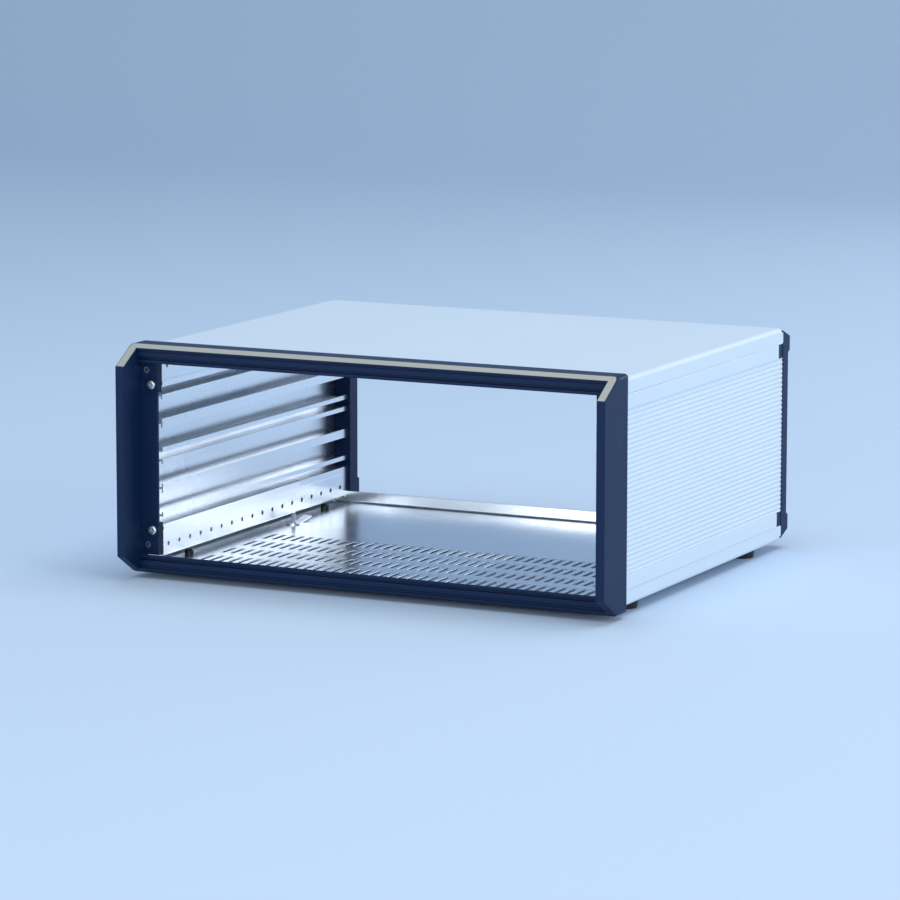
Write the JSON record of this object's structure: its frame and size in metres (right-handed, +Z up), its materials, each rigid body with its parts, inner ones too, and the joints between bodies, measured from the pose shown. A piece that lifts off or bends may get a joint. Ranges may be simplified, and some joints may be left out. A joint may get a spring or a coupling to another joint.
{
  "type": "instrument case",
  "caption": "Portable instrument case, open at front and rear: folded covers, fluted side panels, chamfered front frame, slotted floor, rear end trims and round feet.",
  "frame": {"origin": "on the floor under the middle of the outline", "axes": "+X across the width, +Y from the open front to the rear, +Z up"},
  "size_m": [0.3682, 0.3302, 0.1638],
  "materials": {
    "painted_cover": "fine satin paint, pale grey",
    "bare_floor": "bright bare sheet inside, pale grey paint outside",
    "side_extrusion": "bright bare extrusion inside, pale grey paint outside",
    "painted_strip": "fine satin paint, pale grey",
    "dark_casting": "fine textured dark slate blue",
    "dark_rail": "satin dark slate blue",
    "light_inlay": "matt warm light grey",
    "bright_screw": "bright zinc",
    "bright_stud": "bright tin",
    "black_rubber": "matt",
    "black_plastic": "satin"
  },
  "bodies": {
    "root": {"top_cover": "painted_cover", "bottom_cover": "bare_floor", "side_panel_left": "side_extrusion", "side_panel_right": "side_extrusion", "side_strip_upper_left": "painted_strip", "side_strip_lower_left": "painted_strip", "side_strip_upper_right": "painted_strip", "side_strip_lower_right": "painted_strip", "front_cheek_left": "dark_casting", "front_cheek_right": "dark_casting", "front_rail_top": "dark_rail", "front_rail_bottom": "dark_rail", "inlay_left": "light_inlay", "inlay_top": "light_inlay", "inlay_right": "light_inlay", "cheek_screws": "bright_screw", "panel_inserts": "bright_screw", "rear_trim_left": "dark_casting", "rear_trim_right": "dark_casting", "rear_trim_screws": "bright_screw", "cover_screws": "bright_screw", "foot_front_left": "black_rubber", "foot_front_right": "black_rubber", "foot_rear_left": "black_rubber", "foot_rear_right": "black_rubber", "foot_rivets": "black_plastic", "earth_stud": "bright_stud", "earth_tab": "bright_stud"}
  },
  "joints": []
}
